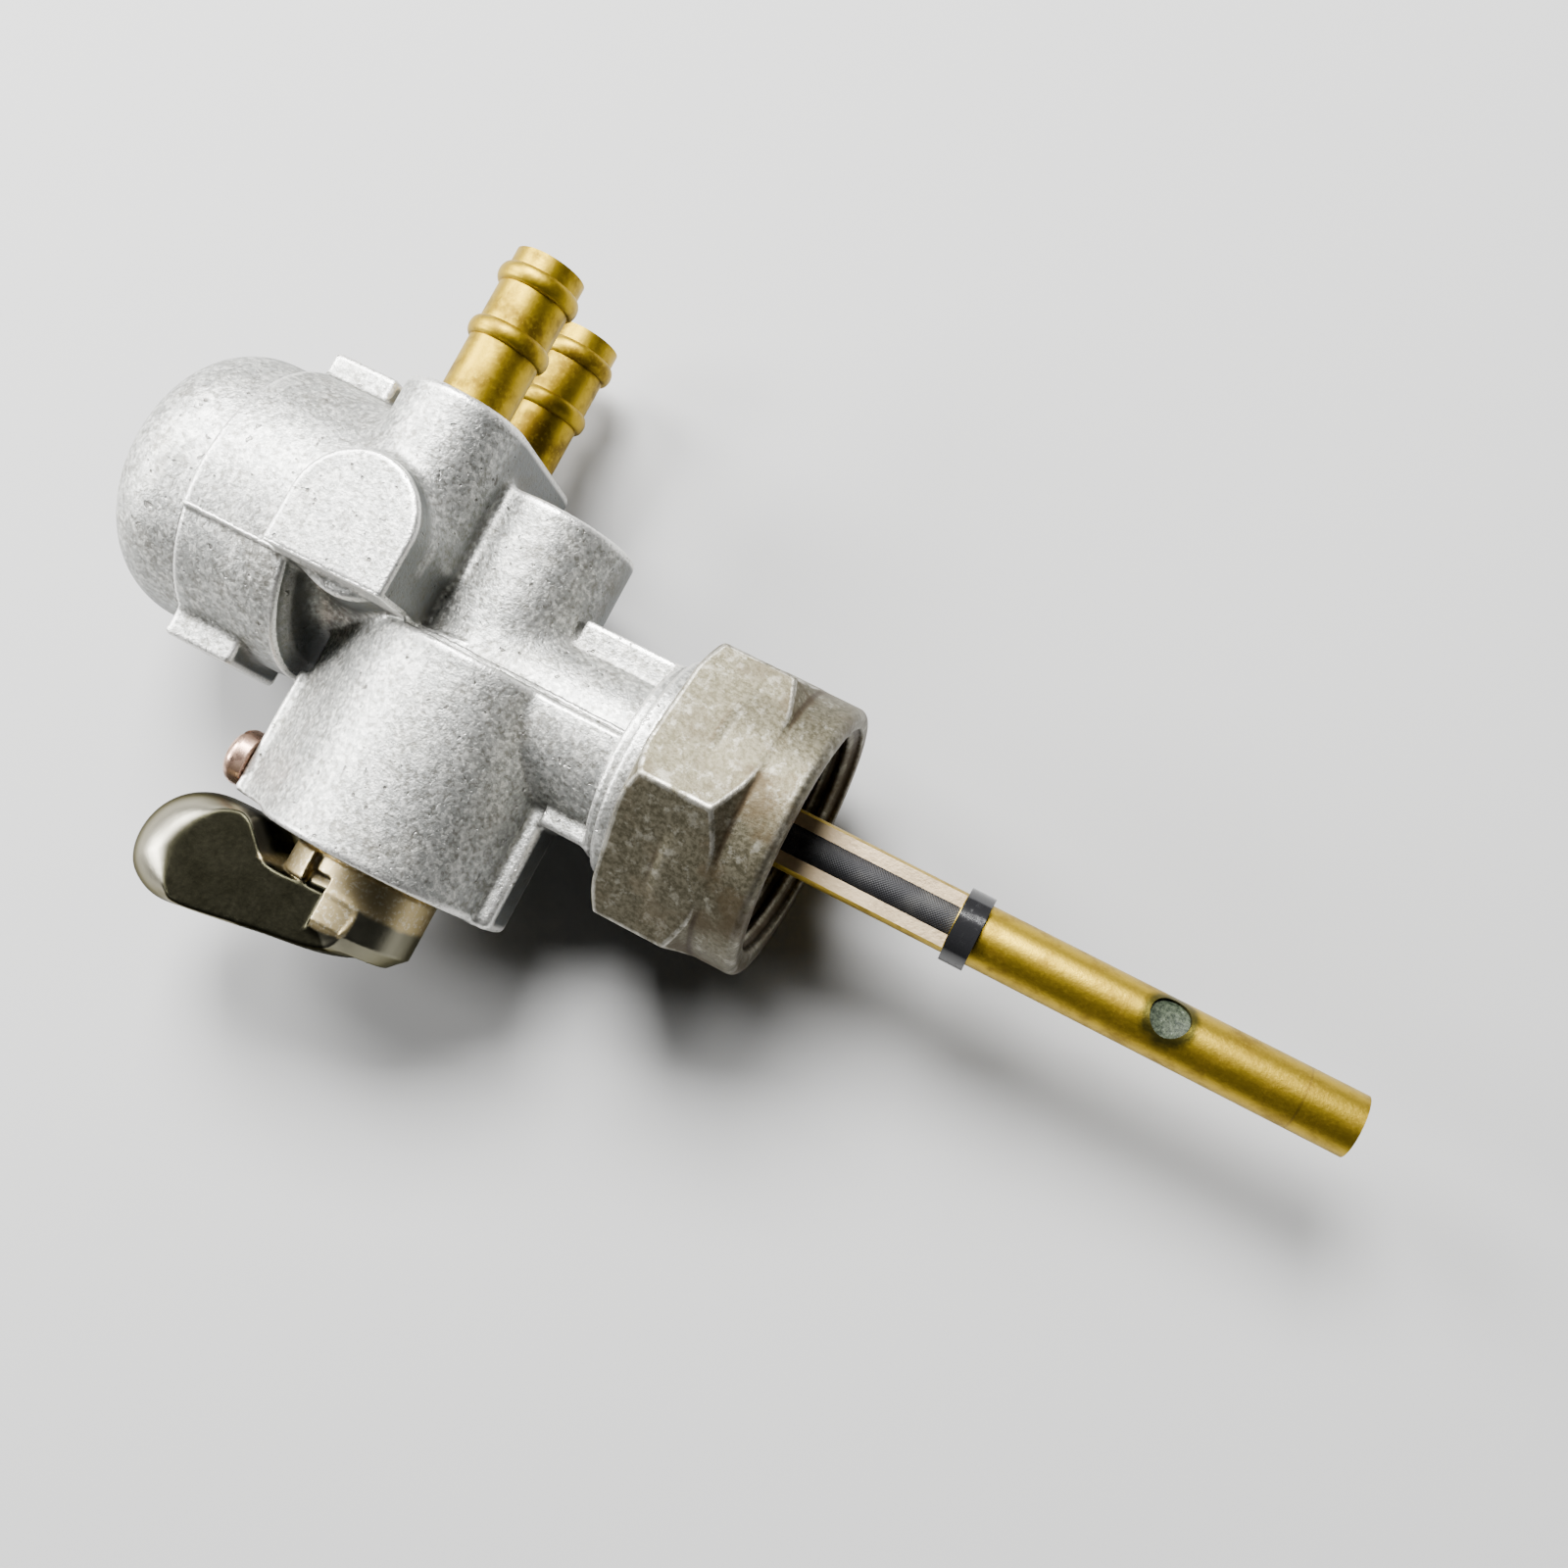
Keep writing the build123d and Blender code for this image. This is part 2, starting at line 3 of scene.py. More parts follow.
import bpy
import numpy as np
from mathutils import Matrix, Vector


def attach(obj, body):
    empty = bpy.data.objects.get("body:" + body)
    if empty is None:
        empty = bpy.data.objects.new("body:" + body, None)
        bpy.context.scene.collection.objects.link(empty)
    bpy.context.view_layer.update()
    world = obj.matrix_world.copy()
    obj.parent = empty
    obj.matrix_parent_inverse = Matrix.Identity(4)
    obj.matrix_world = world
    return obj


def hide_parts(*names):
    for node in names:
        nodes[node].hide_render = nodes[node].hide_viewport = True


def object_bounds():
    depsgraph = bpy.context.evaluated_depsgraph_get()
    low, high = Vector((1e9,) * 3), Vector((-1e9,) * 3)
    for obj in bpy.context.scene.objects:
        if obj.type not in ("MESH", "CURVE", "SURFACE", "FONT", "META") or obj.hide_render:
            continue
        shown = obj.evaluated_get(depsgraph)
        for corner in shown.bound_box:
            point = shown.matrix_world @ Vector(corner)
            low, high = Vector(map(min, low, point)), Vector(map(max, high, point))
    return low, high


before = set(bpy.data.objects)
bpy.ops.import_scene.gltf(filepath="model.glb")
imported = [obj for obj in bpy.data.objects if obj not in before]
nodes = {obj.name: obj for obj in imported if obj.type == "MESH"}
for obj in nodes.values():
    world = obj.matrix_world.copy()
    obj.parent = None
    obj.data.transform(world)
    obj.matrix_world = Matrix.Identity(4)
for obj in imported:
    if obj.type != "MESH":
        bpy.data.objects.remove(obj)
cad_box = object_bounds()


# Valve body: one zinc die casting with soft blends where its bosses run into each other, left as cast.
# It is a smooth union of rounded solids, cut by the machined bores. Distances on a grid make the blends,
# which no grid of two parameters could follow. These are the axes and ends that its pieces share, in mm.
barrel_x = -26.2
collar_y = 5.9
collar_end = -54.5
flange_start = -8.4
outlet_x = -36.9
outlet_z = 7.76
arch_x = -37.8
arch_y = 6.7
die_line = 1.3


def rounded(across, along, edge):
    """Distance to a shape with a rounded rim, from the distance to its outline and to its end planes."""
    a = across + edge
    b = along + edge
    return np.minimum(np.maximum(a, b), 0) + np.hypot(np.maximum(a, 0), np.maximum(b, 0)) - edge


def disc(u, v, centre, radius, w, ends, edge):
    """Distance to a round bar along w, between two ends, with rounded rims."""
    across = np.hypot(u - centre[0], v - centre[1]) - radius
    along = np.abs(w - (ends[0] + ends[1]) / 2) - (ends[1] - ends[0]) / 2
    return rounded(across, along, edge)


def block(x, y, z, low, high, edge):
    """Distance to a box with rounded edges between its low and high corners."""
    gaps = [np.abs(p - (a + b) / 2) - (b - a) / 2 + edge for p, a, b in zip((x, y, z), low, high)]
    outside = np.sqrt(sum(np.maximum(g, 0) ** 2 for g in gaps))
    return outside + np.minimum(np.maximum(np.maximum(gaps[0], gaps[1]), gaps[2]), 0) - edge


def join(a, b, blend):
    """Union of two distances, with a soft fillet about as wide as blend where they meet."""
    near = np.maximum(blend - np.abs(a - b), 0) / blend
    return np.minimum(a, b) - near * near * blend / 4


def casting(x, y, z):
    """Signed distance to the valve body in millimetres, negative inside the metal."""
    neck = disc(y, z, (0, 0), 7.7, x, (barrel_x, -6.0), 0.3)
    barrel = disc(x, z, (barrel_x, 0), 12.0, y, (-20.6, 0.9), 0.5)
    body = join(neck, barrel, 1.2)
    chamber = np.maximum(disc(x, z, (barrel_x, 0), 7.9, y, (-3, 17.3), 0.6), -31.6 - x)
    body = join(body, chamber, 1.6)
    trunk = np.maximum(disc(y, z, (6.6, 0), 9.2, x, (-44, barrel_x), 0.3), y - die_line)
    body = join(body, trunk, 1.6)
    web = block(x, y, z, (-44, 0, -8), (barrel_x, 15.5, 2.8), 0.4)
    body = join(body, web, 0.8)
    collar = disc(y, z, (collar_y, 0), 14.1, x, (collar_end, -43), 0.4)
    shoulder = disc(y, z, (collar_y, 0), 14.1, x, (-50, -42.6), 2.4)
    body = join(body, join(collar, shoulder, 0.3), 2.2)
    upper_half = np.maximum(disc(y, z, (collar_y, 0), 14.5, x, (collar_end, -39.5), 0.5), die_line - y)
    body = join(body, upper_half, 0.3)
    lower_lug = block(x, y, z, (-54.7, -9.9, -5.2), (-47.2, collar_y, 5.2), 0.5)
    body = join(body, lower_lug, 0.5)
    upper_lug = block(x, y, z, (collar_end, collar_y, -3.4), (-47.2, 22.6, 3.4), 0.5)
    body = join(body, upper_lug, 0.5)
    cross = disc(x, y, (arch_x, arch_y), 6.7, z, (-15, 13.2), 0.8)
    body = join(body, cross, 1.2)
    across = np.where(y > arch_y, np.hypot(x - arch_x, y - arch_y), np.abs(x - arch_x))
    outline = across - 6.3 - (17 - z) * 0.03
    arch = rounded(np.maximum(outline, die_line - y), np.abs(z - 8) - 9, 0.45)
    body = join(body, arch, 0.7)
    slot = np.hypot(x - outlet_x, np.maximum(np.abs(z) - outlet_z, 0)) - 6.4
    boss = rounded(slot, np.abs(y - 14.3) - 7.6, 0.7)
    body = join(body, boss, 1.8)
    upper_tab = block(x, y, z, (-18.4, 0, -3.8), (-8.0, 9.6, 3.8), 0.3)
    body = join(body, upper_tab, 0.4)
    lower_tab = block(x, y, z, (-13.2, -9.6, -3.8), (-8.0, 0, 3.8), 0.3)
    body = join(body, lower_tab, 0.4)
    lower_neck = np.maximum(disc(y, z, (0, 0), 8.5, x, (-26, -8), 0.2), y - 0.9)
    body = join(body, lower_neck, 0.35)
    rib = block(x, y, z, (-24, -20.7, -2.8), (-12.9, -5.3, 2.8), 0.9)
    body = join(body, rib, 0.5)
    pad_left = -41.1
    flank = np.maximum((np.abs(z) - 1.9 - (x - pad_left)) * np.sqrt(0.5), pad_left - x)
    screw_pad = np.maximum(np.maximum(flank, x + 34.4), np.abs(y + 10.0) - 10.1)
    body = join(body, screw_pad, 0.25)
    ledge = block(x, y, z, (-42.1, -20.1, -2.1), (-36, -6.9, 2.1), 0.45)
    body = join(body, ledge, 0.3)
    flange = disc(y, z, (0, 0), 10.2, x, (flange_start, -6.5), 0.3)
    body = join(body, flange, 0.6)
    step = disc(y, z, (0, 0), 11.2, x, (-7.2, -5.5), 0.25)
    spigot = disc(y, z, (0, 0), 9.0, x, (-6, 0), 0.1)
    body = np.minimum(np.minimum(body, step), spigot)
    ring_groove = np.maximum(np.abs(x + 1.55) - 0.78, 8.4 - np.hypot(y, z))
    shaft_bore = disc(x, z, (barrel_x, 0), 7.3, y, (-23, -4), 0)
    pipe_bore = disc(y, z, (0, 0), 3.1, x, (-11.2, 2), 0)
    outlet_bores = disc(x, np.abs(z), (outlet_x, outlet_z), 3.66, y, (13.8, 25), 0)
    cup_bore = disc(y, z, (collar_y, 0), 11.5, x, (-57, -48.4), 0)
    screw_bore = disc(y, z, (-17, 0), 1.6, x, (-44, -30), 0)
    for cut in (ring_groove, shaft_bore, pipe_bore, outlet_bores, cup_bore, screw_bore):
        body = np.maximum(body, -cut)
    return body


def add_object(name, data):
    """A new object in the scene, at the origin."""
    new = bpy.data.objects.new(name, data)
    bpy.context.collection.objects.link(new)
    return new


def cast_mesh(name, distance, low, high, step):
    """Mesh of the surface where a distance is nought: one vertex in each grid cell that the surface
    crosses, drawn onto it along the slope, and a quad round every grid edge that crosses it.
    The layer "edge" holds how far the surface bends: above nought on rims, below in hollows."""
    axes = [np.arange(a, b + step, step, dtype=np.float32) for a, b in zip(low, high)]
    field = distance(*np.meshgrid(*axes, indexing="ij", sparse=True))
    solid = field < 0
    size = np.array(field.shape) - 1
    total = np.zeros((*size, 3), np.float32)
    count = np.zeros(size, np.float32)
    for axis in range(3):
        sides = [i for i in range(3) if i != axis]
        for shift in ((0, 0), (0, 1), (1, 0), (1, 1)):
            first = [slice(0, n) for n in size]
            for side, by in zip(sides, shift):
                first[side] = slice(by, size[side] + by)
            second = list(first)
            second[axis] = slice(1, size[axis] + 1)
            a = field[tuple(first)]
            b = field[tuple(second)]
            crossed = (a < 0) != (b < 0)
            share = np.where(crossed, a / np.where(crossed, a - b, 1), 0)
            total[..., axis] += share
            for side, by in zip(sides, shift):
                total[..., side] += crossed * by
            count += crossed
    active = count > 0
    cells = np.argwhere(active)
    points = (cells + total[active] / count[active][:, None]) * step + np.array(low)
    index = np.full(size, -1)
    index[active] = np.arange(len(cells))
    faces = []
    for axis in range(3):
        u, v = [(1, 2), (2, 0), (0, 1)][axis]
        inner = [slice(1, n) for n in size]
        inner[axis] = slice(0, size[axis])
        after = list(inner)
        after[axis] = slice(1, size[axis] + 1)
        here = solid[tuple(inner)]
        ahead = solid[tuple(after)]
        places = np.argwhere(here != ahead)
        out = here[here != ahead]
        places[:, u] += 1
        places[:, v] += 1
        back_u = places.copy()
        back_u[:, u] -= 1
        back_v = places.copy()
        back_v[:, v] -= 1
        back = back_u.copy()
        back[:, v] -= 1
        quad = np.stack([index[tuple(c.T)] for c in (back, back_v, places, back_u)], axis=1)
        faces.append(np.where(out[:, None], quad, quad[:, ::-1]))
    faces = np.concatenate(faces)
    small = 0.02
    wide = 0.45
    for _ in range(3):
        here = distance(*points.T)
        rises = [distance(*(points + small * d).T) - here for d in np.eye(3)]
        slope = np.stack(rises, axis=1) / small
        steep = np.maximum((slope**2).sum(axis=1), 0.2)
        points = points - slope * np.clip(here / steep, -step / 2, step / 2)[:, None]
    around = sum(distance(*(points + wide * d).T) + distance(*(points - wide * d).T) for d in np.eye(3))
    mesh = bpy.data.meshes.new(name)
    mesh.from_pydata(points * 0.001, [], faces.tolist())
    mesh.polygons.foreach_set("use_smooth", np.ones(len(faces), bool))
    layer = mesh.attributes.new("edge", "FLOAT", "POINT")
    layer.data.foreach_set("value", (around / wide).astype(np.float32))
    return add_object(name, mesh)


class Wire:
    """A shader socket that adds, multiplies and compares like a number; without one, a whole material."""

    def __init__(self, tree, socket=None):
        self.tree = tree
        self.socket = socket

    def node(self, kind, settings=None, sockets=None, out=0):
        """Any node, with its settings and its sockets by name or number; gives one of its outputs."""
        new = self.tree.nodes.new("ShaderNode" + kind)
        for name, value in (settings or {}).items():
            setattr(new, name, value)
        for name, value in (sockets or {}).items():
            if isinstance(value, Wire):
                self.tree.links.new(value.socket, new.inputs[name])
            else:
                new.inputs[name].default_value = value
        return Wire(self.tree, new.outputs[out])

    def math(self, operation, a, b):
        """One step of arithmetic."""
        return self.node("Math", {"operation": operation}, {0: a, 1: b})

    def __add__(self, other):
        return self.math("ADD", self, other)

    def __radd__(self, other):
        return self.math("ADD", other, self)

    def __sub__(self, other):
        return self.math("SUBTRACT", self, other)

    def __rsub__(self, other):
        return self.math("SUBTRACT", other, self)

    def __mul__(self, other):
        return self.math("MULTIPLY", self, other)

    def __pow__(self, other):
        return self.math("POWER", self, other)

    def __gt__(self, other):
        return self.math("GREATER_THAN", self, other)

    def __lt__(self, other):
        return self.math("LESS_THAN", self, other)

    def __abs__(self):
        return self.node("Math", {"operation": "ABSOLUTE"}, {0: self})

    def sine(self):
        """Sine of this angle in radians."""
        return self.node("Math", {"operation": "SINE"}, {0: self})

    def ramp(self, low, high):
        """Nought below low, one above high and smooth between them."""
        return self.node("MapRange", {"interpolation_type": "SMOOTHSTEP"}, {0: self, 1: low, 2: high})

    def mix(self, a, b):
        """Colour a where this is nought, colour b where it is one."""
        return self.node("Mix", {"data_type": "RGBA"}, {0: self, 6: a, 7: b}, 2)

    def noise(self, size, detail=3.0, roughness=0.55):
        """Cloudy noise whose blotches are about that many millimetres across."""
        sockets = {"Vector": self, "Scale": 1000 / size, "Detail": detail, "Roughness": roughness}
        return self.node("TexNoise", None, sockets)

    def part(self, axis):
        """One part of a vector: 0, 1 or 2."""
        return self.node("SeparateXYZ", None, {0: self}, axis)

    def bump(self, depth):
        """Normal tilted by this height, which stands for that many millimetres of relief."""
        return self.node("Bump", None, {"Strength": 1.0, "Distance": depth * 0.001, "Height": self})


def material(name, paint):
    """A material whose shader sockets come from paint(place), where place is the Object coordinate."""
    made = bpy.data.materials.new(name)
    made.use_nodes = True
    shader = made.node_tree.nodes["Principled BSDF"]
    root = Wire(made.node_tree)
    place = root.node("TexCoord", None, None, "Object")
    for socket, value in paint(place).items():
        if isinstance(value, Wire):
            made.node_tree.links.new(value.socket, shader.inputs[socket])
        else:
            shader.inputs[socket].default_value = value
    return made


def zinc(place):
    """Satin grey die cast zinc: a crystal mottle broken by pale flecks, small pits and beige stains, with a
    bright die line, painted highlights on rims, painted shade in hollows and on faces turned down, and
    painted light on faces turned up."""
    up = place.node("NewGeometry", None, None, "Normal").part(2)
    edge = place.node("Attribute", {"attribute_name": "edge"}, None, "Fac")
    wobble = place.node("TexNoise", None, {"Vector": place, "Scale": 1100.0, "Detail": 4.0}, "Color")
    bent = place.node("VectorMath", {"operation": "MULTIPLY_ADD"}, {0: wobble, 1: (0.0016,) * 3, 2: place})
    crystal = place.node("TexVoronoi", None, {"Vector": bent, "Scale": 1250.0}, "Color").part(0)
    fleck = place.noise(0.5, 3.0, 0.6)
    grain = place.noise(0.25, 2.0)
    cloud = place.noise(8.0, 5.0, 0.65)
    blotch = place.noise(2.4, 4.0, 0.7)
    stain = (cloud * 0.5 + blotch * 0.5).ramp(0.47, 0.66)
    pit = place.noise(0.8, 1.0).ramp(0.70, 0.77)
    rim_highlight = edge.ramp(0.08, 0.5)
    hollow_shade = (0 - edge).ramp(0.08, 0.7)
    x = place.part(0) * 1000
    off_line = place.part(1) * 1000 - die_line + (blotch - 0.5) * 0.5
    seam = (1 - abs(off_line).ramp(0.06, 0.24)) * (x < flange_start) * (x > collar_end)
    # Faces turned down are painted dark and faces turned up pale, and the pale crystals and flecks show
    # only on faces turned up: painted shade and painted light from above.
    colour = up.ramp(-0.3, 0.95).mix((0.11, 0.12, 0.12, 1), (0.47, 0.475, 0.455, 1))
    colour = (stain * 0.45).mix(colour, (0.20, 0.18, 0.135, 1))
    colour = (crystal.ramp(0.55, 0.8) * up.ramp(0.0, 0.8) * 0.25).mix(colour, (0.95, 0.94, 0.89, 1))
    colour = ((1 - crystal.ramp(0.1, 0.35)) * 0.22).mix(colour, (0.13, 0.125, 0.105, 1))
    colour = (fleck.ramp(0.52, 0.64) * up.ramp(0.0, 0.8) * 0.6).mix(colour, (0.95, 0.94, 0.88, 1))
    colour = ((1 - fleck.ramp(0.36, 0.48)) * 0.55).mix(colour, (0.15, 0.14, 0.11, 1))
    # Hollows painted darker: painted shade.
    colour = (hollow_shade * 0.35).mix(colour, (0.10, 0.095, 0.08, 1))
    colour = (pit * 0.6).mix(colour, (0.08, 0.07, 0.06, 1))
    # Rims painted near white: painted highlight.
    colour = ((rim_highlight * 0.75 + seam * 0.5) * grain.ramp(0.2, 0.5)).mix(colour, (0.94, 0.93, 0.89, 1))
    rough = 0.41 + grain * 0.12 + stain * 0.10 - rim_highlight * 0.08
    height = grain * 0.3 + fleck * 0.5 + crystal * 0.35 - pit * 0.9 + seam * 1.6
    return {"Base Color": colour, "Metallic": 0.92, "Roughness": rough, "Normal": height.bump(0.09)}


zinc_look = material("zinc", zinc)
body = cast_mesh("valve_casting", casting, (-55.2, -21.4, -15.8), (0.8, 23.4, 17.8), 0.36)
body.data.materials.append(zinc_look)
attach(body, "housing")
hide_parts("valve_body")


# Hose outlets: two turned brass tubes, each with two rounded beads that grip the hose.
# They are pressed into the casting's double boss, and keep the solids of the frame.
def dress(name, look):
    """Give a node of the frame one material in place of its own."""
    nodes[name].data.materials.clear()
    nodes[name].data.materials.append(look)


def brass(place):
    """Aged golden brass, darker and browner in blotches, with a soft turned grain."""
    blotch = place.noise(3.0, 4.0, 0.6)
    fine = place.noise(0.4, 3.0)
    age = blotch.ramp(0.42, 0.68)
    colour = age.mix((0.40, 0.27, 0.014, 1), (0.16, 0.100, 0.008, 1))
    colour = (fine.ramp(0.5, 0.75) * 0.4).mix(colour, (0.54, 0.385, 0.03, 1))
    rough = 0.38 + age * 0.10 + fine * 0.10
    return {"Base Color": colour, "Metallic": 1.0, "Roughness": rough, "Normal": fine.bump(0.015)}


brass_look = material("brass", brass)
for name in ("outlet_upper", "outlet_lower"):
    dress(name, brass_look)


# Standpipe: drawn brass tube with a milled window over its strainer and one cross hole.
# It is pressed into the spigot and stands up inside the tank. The hole leans away from straight up.
hole_x = 45.6
hole_radius = 1.88
hole_lean = np.radians(22)
turned_line_x = 58.6


def pipe_brass(place):
    """Brass of the pipe: pinkish on the milled flat, golden outside with a turned line near the tip,
    and green round the hole."""
    up = place.node("NewGeometry", None, None, "Normal").part(2)
    x = place.part(0) * 1000
    y = place.part(1) * 1000
    z = place.part(2) * 1000
    cut = up.ramp(0.97, 0.995) * (x < 25.2) * (z < 1.6) * (z > 1.3)
    blotch = place.noise(2.5, 4.0, 0.65)
    fine = place.noise(0.35, 3.0, 0.7)
    age = blotch.ramp(0.42, 0.7)
    across = y * np.cos(hole_lean) - z * np.sin(hole_lean)
    along = x - hole_x
    away = (along * along + across * across) ** 0.5 + (blotch - 0.5) * 1.6
    green = (1 - away.ramp(2.2, 3.0)) * (z > 0)
    line = 1 - abs(x - turned_line_x).ramp(0.05, 0.16)
    colour = age.mix((0.49, 0.335, 0.026, 1), (0.27, 0.175, 0.016, 1))
    colour = (fine.ramp(0.5, 0.75) * 0.35).mix(colour, (0.64, 0.46, 0.05, 1))
    colour = (line * 0.35).mix(colour, (0.16, 0.09, 0.03, 1))
    colour = cut.mix(colour, (0.62, 0.48, 0.30, 1))
    colour = (green * 0.85).mix(colour, (0.035, 0.042, 0.014, 1))
    rough = 0.34 + age * 0.1 + fine * 0.12
    return {"Base Color": colour, "Metallic": 1.0, "Roughness": rough, "Normal": fine.bump(0.02)}


dress("standpipe", material("pipe_brass", pipe_brass))


# Verdigris: a crust of dark green fuel residue that has dried in the pipe's cross hole.
# It lies just under the pipe's outer face, dished towards its middle.
def verdigris(place):
    """Dark grey green crust with pale bluish specks."""
    fine = place.noise(0.35, 4.0, 0.7)
    colour = fine.ramp(0.35, 0.7).mix((0.012, 0.018, 0.010, 1), (0.065, 0.08, 0.05, 1))
    colour = fine.ramp(0.66, 0.74).mix(colour, (0.55, 0.60, 0.55, 1))
    return {"Base Color": colour, "Roughness": 0.5, "Specular IOR Level": 0.2,
            "Normal": fine.bump(0.08)}


crust_radius = 2.95
rings = 14
spokes = 48
turns = np.linspace(0, 2 * np.pi, spokes + 1)[:-1]
reach, turn = np.meshgrid(np.linspace(0, hole_radius, rings), turns, indexing="ij")
side = reach * np.sin(turn)
rise = np.sqrt(crust_radius**2 - side**2) - 0.35 - 0.25 * (1 - (reach / hole_radius) ** 2)
crust = np.stack([
    hole_x + reach * np.cos(turn),
    side * np.cos(hole_lean) + rise * np.sin(hole_lean),
    -side * np.sin(hole_lean) + rise * np.cos(hole_lean),
], axis=-1).reshape(-1, 3)
ring, step = np.meshgrid(np.arange(rings - 1) * spokes, np.arange(spokes), indexing="ij")
after = (step + 1) % spokes
quads = np.stack([ring + step, ring + spokes + step, ring + spokes + after, ring + after], axis=-1)
crust_mesh = bpy.data.meshes.new("hole_verdigris")
crust_mesh.from_pydata(crust * 0.001, [], quads.reshape(-1, 4).tolist())
crust_mesh.polygons.foreach_set("use_smooth", np.ones((rings - 1) * spokes, bool))
crust_mesh.materials.append(material("verdigris", verdigris))
residue = add_object("hole_verdigris", crust_mesh)
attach(residue, "housing")


# Strainer: a dark woven gauze sleeve inside the pipe that keeps dirt out of the tap.
# A shiny black band round the pipe closes the window's far end.
def gauze(place):
    """Dark woven wire: two crossed sets of fine waves."""
    radians_per_metre = 22000
    warp = (place.part(0) * radians_per_metre).sine() * 0.5
    weft = (place.part(1) * radians_per_metre).sine() * 0.5
    height = warp * weft + 0.5
    dust = place.noise(2.5, 4.0).ramp(0.4, 0.75)
    colour = dust.mix((0.018, 0.018, 0.02, 1), (0.045, 0.044, 0.042, 1))
    return {"Base Color": colour, "Metallic": 0.3, "Roughness": 0.55, "Normal": height.bump(0.08)}


def black_band(place):
    """Glossy black band with faint scuffs."""
    scuff = place.noise(0.7, 4.0).ramp(0.5, 0.75)
    return {"Base Color": (0.012, 0.012, 0.013, 1), "Roughness": 0.16 + scuff * 0.2, "Coat Weight": 0.3}


gauze_look = material("gauze", gauze)
dress("strainer_screen", gauze_look)
dress("strainer_band", material("black_band", black_band))


# Union nut: a plated steel hexagon with a turned collar and a threaded mouth, with painted highlights on
# its edges.
# It turns freely on the casting's spigot, held by a sprung ring, and its gasket seals against the tank.
nut_flat = 13.5
nut_collar = 13.8
nut_rest_turn = np.radians(37)
thread_pitch = 1.5


def nut_shape(x, y, z):
    """Signed distance to the nut: a chamfered hexagon joined to a collar, cut by a spiral thread."""
    radius = np.hypot(y, z)
    turn = np.arctan2(z, y)
    sixth = np.pi / 3
    off = np.mod(turn - nut_rest_turn, sixth) - sixth / 2
    hexagon = radius * np.cos(off) - nut_flat
    back = (radius - 14.1 - (x + 5.2) * 1.3) * 0.61
    front = (radius - nut_collar - (4.6 - x) * 1.1) * 0.67
    head = rounded(np.maximum(np.maximum(hexagon, back), front), np.abs(x + 0.3) - 4.9, 0.25)
    collar = disc(y, z, (0, 0), nut_collar, x, (0, 9.3), 0.9)
    solid = join(head, collar, 0.7)
    lip = radius - 9.3
    crest = np.abs(np.mod(x / thread_pitch - turn / (2 * np.pi), 1.0) - 0.5) * 2
    mouth = np.maximum(x - 8.5, 0)
    thread = (radius - 10.75 - 0.75 * crest - mouth) * 0.8
    wide = np.maximum(thread, -2.6 - x)
    return np.maximum(solid, -np.minimum(np.maximum(lip, -8 - x), wide))


def nut_steel(place):
    """Brown grey dull plating, mottled, with dark stains, painted highlights on its rims and painted dark
    brown shade in its hollows.
    """
    edge = place.node("Attribute", {"attribute_name": "edge"}, None, "Fac")
    fine = place.noise(0.45, 3.0, 0.65)
    fleck = place.noise(1.3, 4.0, 0.7)
    cloud = place.noise(5.0, 5.0, 0.65)
    stain = cloud.ramp(0.48, 0.66)
    along = place.part(0) * 1000
    rim_highlight = edge.ramp(0.1, 0.55) * fleck.ramp(0.3, 0.6) * (1 - along.ramp(5.0, 7.0) * 0.8)
    hollow_shade = (0 - edge).ramp(0.04, 0.4)
    colour = fine.ramp(0.35, 0.65).mix((0.08, 0.071, 0.043, 1), (0.155, 0.14, 0.096, 1))
    colour = (fleck.ramp(0.52, 0.66) * 0.6).mix(colour, (0.33, 0.315, 0.255, 1))
    colour = (stain * 0.5).mix(colour, (0.12, 0.095, 0.06, 1))
    run = (along + (fleck - 0.5) * 6).ramp(2.6, 5.0) * cloud.ramp(0.44, 0.6)
    colour = (run * 0.6).mix(colour, (0.065, 0.045, 0.02, 1))
    # Hollows painted dark brown: painted shade.
    colour = (hollow_shade * 0.8).mix(colour, (0.045, 0.03, 0.015, 1))
    # Rims painted pale, less so on the collar's mouth: painted highlight.
    colour = (rim_highlight * 0.6).mix(colour, (0.60, 0.58, 0.51, 1))
    rough = 0.42 + fine * 0.18 + stain * 0.1 - rim_highlight * 0.15
    height = fine * 0.6 + fleck * 0.4
    return {"Base Color": colour, "Metallic": 0.85, "Roughness": rough, "Normal": height.bump(0.06)}


nut = cast_mesh("nut_forging", nut_shape, (-5.8, -16.2, -16.2), (9.9, 16.2, 16.2), 0.25)
nut.data.materials.append(material("nut_steel", nut_steel))
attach(nut, "union_nut")
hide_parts("union_nut")


def spring_steel(place):
    """Plain grey spring steel."""
    return {"Base Color": (0.4, 0.4, 0.4, 1), "Metallic": 1.0, "Roughness": 0.35 + place.noise(1.0) * 0.1}


def fibre(place):
    """Dark red brown fibre washer, soaked with fuel."""
    colour = place.noise(1.2, 4.0).ramp(0.3, 0.7).mix((0.10, 0.05, 0.035, 1), (0.20, 0.11, 0.07, 1))
    return {"Base Color": colour, "Roughness": 0.8}


spring_look = material("spring_steel", spring_steel)
dress("nut_retaining_ring", spring_look)
dress("union_gasket", material("fibre", fibre))


# Lever: a finger blade and hub in one plated casting, held in the barrel by a side screw.
# The blade is flat with a sharp lower edge, rounds away fully towards its tip, and its flat is sunk
# a little into the hub.
blade_half = 6.0
hub_front = -28.4
hub_back = -21.0
recess_end = -27.0


